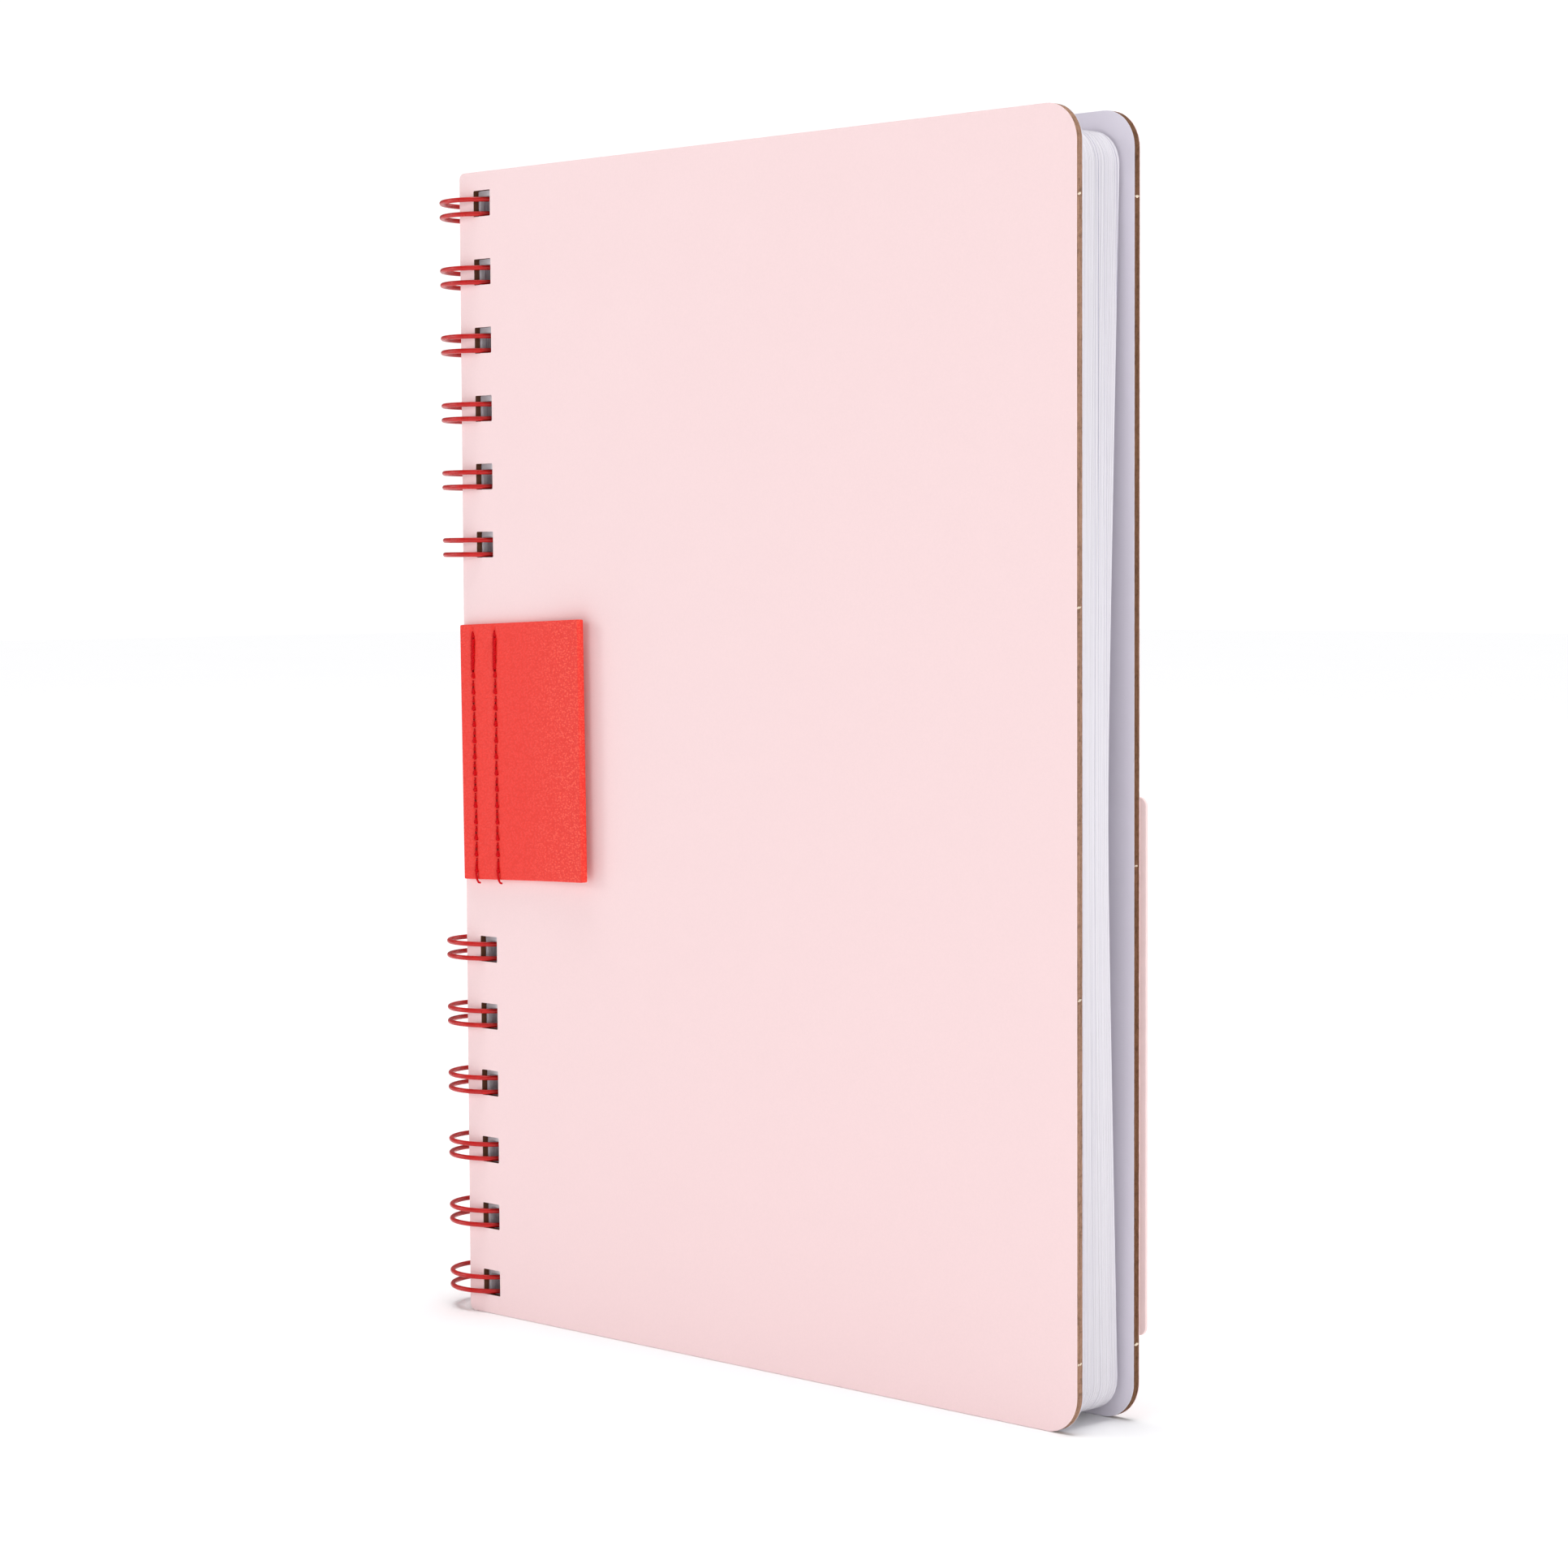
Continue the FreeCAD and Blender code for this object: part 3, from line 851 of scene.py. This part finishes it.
class NOTEBOOK_OT_sheets(Operator):
    """Make every sheet of every pack"""

    bl_idname = "notebook.sheets"
    bl_label = "Make sheets"

    def execute(self, context):
        settings = context.scene.notebook_sheets
        covers = context.scene.notebook_covers
        material = sheet_finish(settings)
        group = sheet_pack_builder()
        cover_low, cover_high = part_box("front_cover_board")
        loops = context.scene.notebook_wires.loops
        cover_heights = hole_heights(cover_low.z, cover_high.z, covers.hole_pitch, loops)
        heights = [height - settings.drop for height in cover_heights]
        count = settings.sheets_per_pack
        share = 1 / PACK_COUNT
        for number in range(1, PACK_COUNT + 1):
            name = f"page_pack_{number:02d}"
            low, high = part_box(name)
            outline = rounded_loop(low.x, high.x, low.z, high.z,
                                   settings.spine_radius, settings.fore_radius, 9 * MM, 7)
            left = low.x + covers.hole_margin
            holes = [hole_loop(left, covers.hole_width, height, covers.hole_height, 0.15 * MM)
                     for height in heights]
            pitch = (high.y - low.y) / count
            thickness = pitch * 0.96
            profile = [(low.y, 0.0), (low.y + thickness, 0.0)]
            flat = plate(name, [outline] + holes, profile)
            inputs = {
                "Count": count, "Pitch": pitch, "Uneven": settings.uneven, "Spine": low.x,
                "Width": high.x - low.x, "Waist": settings.waist, "Softness": 15 * MM, "Fan": settings.fan,
                "Share start": (number - 1) * share + share / count, "Share end": number * share,
                "Seed": number * 17, "Material": material,
            }
            sheet = mark_walls(cut_across(flat, low, high, 14 * MM))
            piece = grown(f"sheets_{number:02d}", sheet, group, inputs)
            settle(piece, f"pack_{number:02d}", "sheets", material, name)
        return {"FINISHED"}


# Wire ----------------------------------------------------------------------------------------------


def wire_path(settings, name, pitch, seam_depth):
    """Points along one wire: to and fro round the rings, with straight links along the seam."""
    low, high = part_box(name)
    radius = settings.diameter / 2
    ring = (high.x - low.x) / 2 - radius
    centre_x = (low.x + high.x) / 2
    centre_y = (low.y + high.y) / 2
    loops = settings.loops
    half_spacing = (high.z - low.z - (loops - 1) * pitch) / 2 - radius
    first = low.z + radius + half_spacing
    bend = settings.bend_radius
    seam = math.asin((seam_depth - centre_y) / ring)
    base = seam + bend / ring
    tip = seam + 2 * math.pi - (settings.tip_gap + settings.diameter + half_spacing) / ring
    base_out = Vector((-math.sin(base), math.cos(base), 0))
    tip_out = Vector((-math.sin(tip), math.cos(tip), 0))
    up = Vector((0, 0, 1))

    def on_ring(turn, height):
        return Vector((centre_x + ring * math.cos(turn), centre_y + ring * math.sin(turn), height))

    def leg(start, end, height):
        steps = 84
        return [on_ring(start + (end - start) * index / steps, height) for index in range(steps + 1)]

    def bend_points(start, heading, towards, size, sweep, steps):
        points = []
        for index in range(1, steps + 1):
            turn = sweep * index / steps
            points.append(start + heading * size * math.sin(turn) + towards * size * (1 - math.cos(turn)))
        return points

    path = []
    for loop in range(loops):
        height = first + loop * pitch
        path += leg(base, tip, height - half_spacing)
        path += bend_points(path[-1], tip_out, up, half_spacing, math.pi, 14)[:-1]
        path += leg(tip, base, height + half_spacing)
        if loop + 1 < loops:
            path += bend_points(path[-1], -base_out, up, bend, RIGHT_ANGLE, 6)
            link_end = Vector((path[-1].x, path[-1].y, height + pitch - half_spacing - bend))
            path.append(link_end)
            path += bend_points(link_end, up, base_out, bend, RIGHT_ANGLE, 6)[:-1]
    return path


def wire_builder():
    """Round wire swept along a path, with closed ends."""
    tree = Builder("coated_wire")
    diameter = tree.value("Diameter")
    sides = tree.value("Sides", "Int")
    path = tree.add("GeometryNodeMeshToCurve", None, {"Mesh": tree.geometry})
    section = tree.add("GeometryNodeCurvePrimitiveCircle", None,
                       {"Resolution": sides, "Radius": diameter * 0.5})
    swept = tree.add("GeometryNodeCurveToMesh", None,
                     {"Curve": path, "Profile Curve": section, "Fill Caps": True})
    return tree.finish(swept)


class NOTEBOOK_OT_wires(Operator):
    """Make the two twin-loop wires"""

    bl_idname = "notebook.wires"
    bl_label = "Make wires"

    def execute(self, context):
        settings = context.scene.notebook_wires
        material = wire_finish(settings)
        group = wire_builder()
        pitch = context.scene.notebook_covers.hole_pitch
        sheets_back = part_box(f"page_pack_{PACK_COUNT:02d}")[1].y + PACK_GAP
        seam_depth = sheets_back + settings.diameter / 2 + WIRE_CLEARANCE
        for name in ("lower_wire", "upper_wire"):
            points = wire_path(settings, name, pitch, seam_depth)
            path = bpy.data.meshes.new(name)
            path.from_pydata(points, [(index, index + 1) for index in range(len(points) - 1)], [])
            inputs = {"Diameter": settings.diameter, "Sides": 16, "Material": material}
            piece = grown(f"{name}_coated", path, group, inputs)
            smooth(piece, 50)
            settle(piece, "back_cover", "coated_wire", material, name)
        return {"FINISHED"}


# Leather tab ---------------------------------------------------------------------------------------


class TabShape:
    """Where the tab lies: flat where it is sewn down, then curved gently off the cover."""

    def __init__(self, settings):
        low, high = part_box("pen_tab")
        self.settings = settings
        self.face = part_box("front_cover_facing")[0].y
        self.middle = Vector(((low.x + high.x) / 2, self.face, (low.z + high.z) / 2))
        self.left = self.middle.x - settings.width / 2
        self.bottom = self.middle.z - settings.height / 2
        run = settings.width - settings.flat_width
        self.curve = (run ** 2 + settings.lift ** 2) / (2 * settings.lift)
        self.slope = math.tan(settings.slant)

    def point(self, across, up, depth):
        """Point at a distance across and up the tab and a depth out from its back."""
        height = self.bottom + up + (across - self.settings.width / 2) * self.slope
        beyond = across - self.settings.flat_width
        if beyond <= 0:
            return Vector((self.left + across, self.face - depth, height))
        turn = math.asin(min(beyond / self.curve, 1))
        radius = self.curve - depth
        x = self.left + self.settings.flat_width + radius * math.sin(turn)
        return Vector((x, self.face + radius * math.cos(turn) - self.curve, height))

    def lean(self, mesh):
        """Leans a mesh as the tab leans."""
        turned(mesh, self.middle, "Y", -self.settings.lean)


def stitch_places(settings):
    """Height of the lowest stitch above the tab's bottom edge, how many there are, and a stitch's length."""
    stitch = settings.stitch_pitch * 0.86
    end_margin = 1.2 * MM
    count = int((settings.height - 2 * end_margin - stitch) / settings.stitch_pitch) + 1
    run = (count - 1) * settings.stitch_pitch + stitch
    foot = (settings.height - run) / 2
    return foot, count, stitch


def dimple_depth(settings, across, up):
    """How far thread and needle holes press the leather in at a place."""
    foot, count, _ = stitch_places(settings)
    depth = 0.0
    for row in range(2):
        off = (across - settings.row_inset - row * settings.row_spacing) / MM
        if abs(off) > 2:
            continue
        groove = 0.08 * math.exp(-(off / 0.42) ** 2)
        nearest = round((up - foot) / settings.stitch_pitch)
        along = (up - foot - min(max(nearest, 0), count) * settings.stitch_pitch) / MM
        hole = 0.2 * math.exp(-((off / 0.36) ** 2 + (along / 0.36) ** 2))
        swell = -0.05 * math.exp(-((abs(off) - 0.95) / 0.45) ** 2)
        inside = 1.0 if foot - MM < up < settings.height - foot + MM else 0.0
        depth += (groove + hole + swell) * inside
    return depth * MM


def tab_mesh(settings, shape):
    """Tab with soft edges: a fine grid in front, a wall of rows round it, and a flat back."""
    build = bmesh.new()
    radius = settings.edge_radius
    columns = 130
    rows = 176
    front = []
    for row in range(rows + 1):
        line = []
        for column in range(columns + 1):
            across = radius + (settings.width - 2 * radius) * column / columns
            up = radius + (settings.height - 2 * radius) * row / rows
            depth = settings.thickness - dimple_depth(settings, across, up)
            line.append(build.verts.new(shape.point(across, up, depth)))
        front.append(line)
    for line, next_line in zip(front, front[1:]):
        for column in range(columns):
            build.faces.new((line[column], line[column + 1], next_line[column + 1], next_line[column]))
    rim = [(column, 0) for column in range(columns)] + [(columns, row) for row in range(rows)]
    rim += [(columns - column, rows) for column in range(columns)] + [(0, rows - row) for row in range(rows)]
    wall = [[front[row][column] for column, row in rim]]
    turns = [math.radians(degrees) for degrees in (30, 60, 90)]
    outer = [(radius * (1 - math.cos(turn)), radius * math.sin(turn)) for turn in turns]
    steps = [(settings.thickness - drop, out) for drop, out in outer]
    steps += [(settings.thickness * 0.5, radius)]
    steps += [(drop, out) for drop, out in reversed(outer)]
    steps += [(0.0, 0.0)]
    for depth, out in steps:
        ring = []
        for column, row in rim:
            across = radius + (settings.width - 2 * radius) * column / columns
            up = radius + (settings.height - 2 * radius) * row / rows
            side = (-1 if column == 0 else 1 if column == columns else 0,
                    -1 if row == 0 else 1 if row == rows else 0)
            scale = out / (math.hypot(*side) or 1)
            ring.append(build.verts.new(shape.point(across + side[0] * scale, up + side[1] * scale, depth)))
        wall.append(ring)
    walls = []
    for ring, next_ring in zip(wall, wall[1:]):
        for index in range(len(rim)):
            after = (index + 1) % len(rim)
            walls.append(build.faces.new((ring[index], ring[after], next_ring[after], next_ring[index])))
    for face in walls:
        face.material_index = 1
    last = wall[-1]
    back = [build.edges.get((last[index - 1], last[index])) for index in range(len(last))]
    bmesh.ops.triangle_fill(build, use_beauty=True, edges=back)
    return mesh_from("leather_tab", build)


class NOTEBOOK_OT_tab(Operator):
    """Make the leather tab that a pen's clip slips over"""

    bl_idname = "notebook.tab"
    bl_label = "Make leather tab"

    def execute(self, context):
        settings = context.scene.notebook_tab
        shape = TabShape(settings)
        mesh = tab_mesh(settings, shape)
        shape.lean(mesh)
        piece = smooth(new_object("leather_tab", mesh), 60)
        leather = leather_finish(settings, shape.left + settings.width)
        settle(piece, "front_cover", "leather", leather, "pen_tab")
        piece.data.materials.append(leather_edge_finish(settings))
        return {"FINISHED"}


# Stitches ------------------------------------------------------------------------------------------


def thread_stretch(stitch_length, diameter):
    """One stitch: thin thread that rises from one needle hole beside a thick knot and dips into the next."""
    build = bmesh.new()
    points = []
    radii = []
    steps = 12
    for index in range(steps + 1):
        along = index / steps
        rise = math.sin(math.pi * along) ** 0.5
        points.append(Vector((0, 0.12 * MM - 0.2 * MM * rise, stitch_length * along)))
        radii.append(diameter / 2 * (0.66 + 0.8 * math.exp(-((along - 0.13) / 0.13) ** 2)))
    tube(build, points, radii, 8)
    return mesh_from("stitch", build)


def stitch_builder():
    """Stitches spaced up a row, each slightly turned and sized by chance."""
    tree = Builder("stitch_row")
    count = tree.value("Count", "Int")
    start = tree.value("Start", "Vector")
    pitch = tree.value("Pitch")
    seed = tree.value("Seed", "Int")
    line = tree.add("GeometryNodeMeshLine", None,
                    {"Count": count, "Start Location": start, "Offset": tree.vector(z=pitch)})
    turn = tree.vector(y=tree.random(-0.06, 0.06, seed), z=tree.random(-0.3, 0.3, seed + 1))
    scale = tree.vector(tree.random(0.85, 1.1, seed + 2), 1.0, tree.random(0.97, 1.02, seed + 3))
    placed = tree.add("GeometryNodeInstanceOnPoints", None,
                      {"Points": line, "Instance": tree.geometry, "Rotation": turn, "Scale": scale})
    return tree.finish(placed)


def tack_and_tail(settings, shape, across, seed):
    """Overlapping strands at the top of a row and the cut tail that hooks out at its foot."""
    chance = random.Random(seed)
    build = bmesh.new()
    foot, count, stitch = stitch_places(settings)
    top = foot + (count - 1) * settings.stitch_pitch + stitch
    surface = settings.thickness
    for side, low, high, radius in ((0.0, 6.6, 0.3, 0.24), (-0.2, 7.6, 3.4, 0.2), (0.22, 4.6, 0.9, 0.28)):
        points = []
        radii = []
        steps = 16
        for index in range(steps + 1):
            along = index / steps
            sway = side + 0.07 * math.sin(7 * along + side * 9) + 0.05 * chance.random()
            rise = 0.2 * math.sin(math.pi * along) ** 0.4 - 0.03
            height = top - (low + (high - low) * along) * MM
            points.append(shape.point(across + sway * MM, height, surface + rise * MM))
            radii.append(radius * (0.85 + 0.3 * chance.random()) * MM)
        tube(build, points, radii, 8)
    tail = [(0.0, foot + 1.6 * MM, 0.0), (0.05, foot + 0.5 * MM, 0.2), (0.12, foot - 0.6 * MM, 0.24),
            (0.3, foot - 1.4 * MM, 0.2), (0.6, foot - 1.9 * MM, 0.12), (1.0, foot - 2.0 * MM, 0.0)]
    points = [shape.point(across + side * MM, up, surface + rise * MM) for side, up, rise in tail]
    tube(build, points, [0.2 * MM] * len(points), 8)
    return mesh_from("tack_and_tail", build)


class NOTEBOOK_OT_stitches(Operator):
    """Make both rows of stitches, with the tack at the top and the tail at the foot"""

    bl_idname = "notebook.stitches"
    bl_label = "Make stitches"

    def execute(self, context):
        settings = context.scene.notebook_tab
        material = thread_finish(settings)
        group = stitch_builder()
        foot, count, stitch = stitch_places(settings)
        shape = TabShape(settings)
        for row, node in enumerate(("stitch_row_spine", "stitch_row_inner")):
            across = settings.row_inset + row * settings.row_spacing
            start = shape.point(across, foot, settings.thickness)
            inputs = {"Count": count, "Start": start, "Pitch": settings.stitch_pitch, "Seed": row * 31,
                      "Material": material}
            piece = grown(f"{node}_thread", thread_stretch(stitch, THREAD_DIAMETER), group, inputs)
            shape.lean(piece.data)
            smooth(piece, 70)
            settle(piece, "front_cover", "thread", material, node)
            ends = tack_and_tail(settings, shape, across, row)
            shape.lean(ends)
            extra = smooth(new_object(f"{node}_ends", ends), 70)
            settle(extra, "front_cover", "thread", material)
        return {"FINISHED"}


# Stage ---------------------------------------------------------------------------------------------


def area_light(name, location, target, size, power):
    """Square soft light that faces the target."""
    data = bpy.data.lights.new(name, "AREA")
    data.size = size
    data.energy = power
    light = bpy.data.objects.new(name, data)
    bpy.context.scene.collection.objects.link(light)
    light.location = location
    light.rotation_euler = (target - Vector(location)).to_track_quat("-Z", "Y").to_euler()


class NOTEBOOK_OT_stage(Operator):
    """Make the floor, the soft studio light and the camera"""

    bl_idname = "notebook.stage"
    bl_label = "Make stage"

    def execute(self, context):
        settings = context.scene.notebook_stage
        low, high = CAD_BOX
        middle = (low + high) / 2
        self.make_floor(settings, low.z)
        self.make_lights(context.scene, middle)
        self.make_camera(context.scene, settings, middle)
        return {"FINISHED"}

    @staticmethod
    def make_floor(settings, height):
        """Wide plane just under the notebook."""
        build = bmesh.new()
        bmesh.ops.create_grid(build, x_segments=4, y_segments=4, size=6.0,
                              matrix=Matrix.Translation((0, 0, height - 0.05 * MM)))
        floor = new_object("floor", mesh_from("floor", build))
        floor.data.materials.append(floor_finish(settings))

    @staticmethod
    def make_lights(scene, middle):
        """White surroundings, a wide light overhead and four soft lights round the notebook."""
        world = bpy.data.worlds.new("studio")
        scene.world = world
        world.use_nodes = True
        world.node_tree.nodes.clear()
        tree = NodeTree(world.node_tree)
        seen = tree.add("ShaderNodeLightPath")
        strength = 0.27 + seen * 0.8
        background = tree.add("ShaderNodeBackground", None, {"Color": (1, 1, 1, 1), "Strength": strength})
        tree.add("ShaderNodeOutputWorld", None, {"Surface": background})
        scene.view_settings.view_transform = "Standard"
        sun = bpy.data.lights.new("overhead", "SUN")
        sun.energy = 2.42
        sun.angle = math.radians(40)
        overhead = bpy.data.objects.new("overhead", sun)
        scene.collection.objects.link(overhead)
        area_light("key", (-1.9, -1.5, 0.8), middle, 0.8, 11)
        area_light("front", (0.2, -2.2, 0.6), middle, 0.8, 4)
        area_light("fill", (1.7, -0.5, 0.4), middle, 0.9, 11)
        area_light("back", (0.3, 2.2, 0.8), middle, 0.9, 6)

    @staticmethod
    def make_camera(scene, settings, middle):
        """Camera on the fore-edge side of the front cover, a little above the middle."""
        data = bpy.data.cameras.new("camera")
        data.lens = settings.lens
        data.sensor_width = 36
        data.clip_start = 0.01
        camera = bpy.data.objects.new("camera", data)
        scene.collection.objects.link(camera)
        level = math.cos(settings.elevation)
        back = Vector((math.sin(settings.azimuth) * level, -math.cos(settings.azimuth) * level,
                       math.sin(settings.elevation)))
        off_middle = Vector((8.59, -2.0, -4.3)) * MM
        aim = middle + off_middle
        camera.location = aim + back * settings.distance
        turn = (-back).to_track_quat("-Z", "Y").to_matrix() @ Matrix.Rotation(settings.roll, 3, "Z")
        camera.rotation_euler = turn.to_euler()
        scene.camera = camera


class NOTEBOOK_PT_panel(Panel):
    """Lists the notebook's pieces and their settings"""

    bl_idname = "NOTEBOOK_PT_panel"
    bl_label = "Notebook"
    bl_space_type = "VIEW_3D"
    bl_region_type = "UI"
    bl_category = "Notebook"

    def draw(self, context):
        for name, group in SETTINGS.items():
            column = self.layout.column(align=True)
            column.label(text=name.replace("notebook_", "").capitalize())
            for key in group.__annotations__:
                column.prop(getattr(context.scene, name), key)
        for operator in OPERATORS:
            self.layout.operator(operator.bl_idname)


SETTINGS = {
    "notebook_covers": CoverSettings,
    "notebook_sheets": SheetSettings,
    "notebook_wires": WireSettings,
    "notebook_tab": TabSettings,
    "notebook_stage": StageSettings,
}
OPERATORS = (
    NOTEBOOK_OT_covers,
    NOTEBOOK_OT_card,
    NOTEBOOK_OT_nicks,
    NOTEBOOK_OT_sheets,
    NOTEBOOK_OT_wires,
    NOTEBOOK_OT_tab,
    NOTEBOOK_OT_stitches,
    NOTEBOOK_OT_stage,
)


def register():
    """Registers the settings, the operators and the panel."""
    for name, group in SETTINGS.items():
        bpy.utils.register_class(group)
        setattr(bpy.types.Scene, name, PointerProperty(type=group))
    for item in (*OPERATORS, NOTEBOOK_PT_panel):
        bpy.utils.register_class(item)


def unregister():
    """Removes what register added."""
    for item in reversed((*OPERATORS, NOTEBOOK_PT_panel)):
        bpy.utils.unregister_class(item)
    for name, group in SETTINGS.items():
        delattr(bpy.types.Scene, name)
        bpy.utils.unregister_class(group)


def main():
    register()
    for operator in OPERATORS:
        group, name = operator.bl_idname.split(".")
        getattr(getattr(bpy.ops, group), name)()


if __name__ == "__main__":
    main()
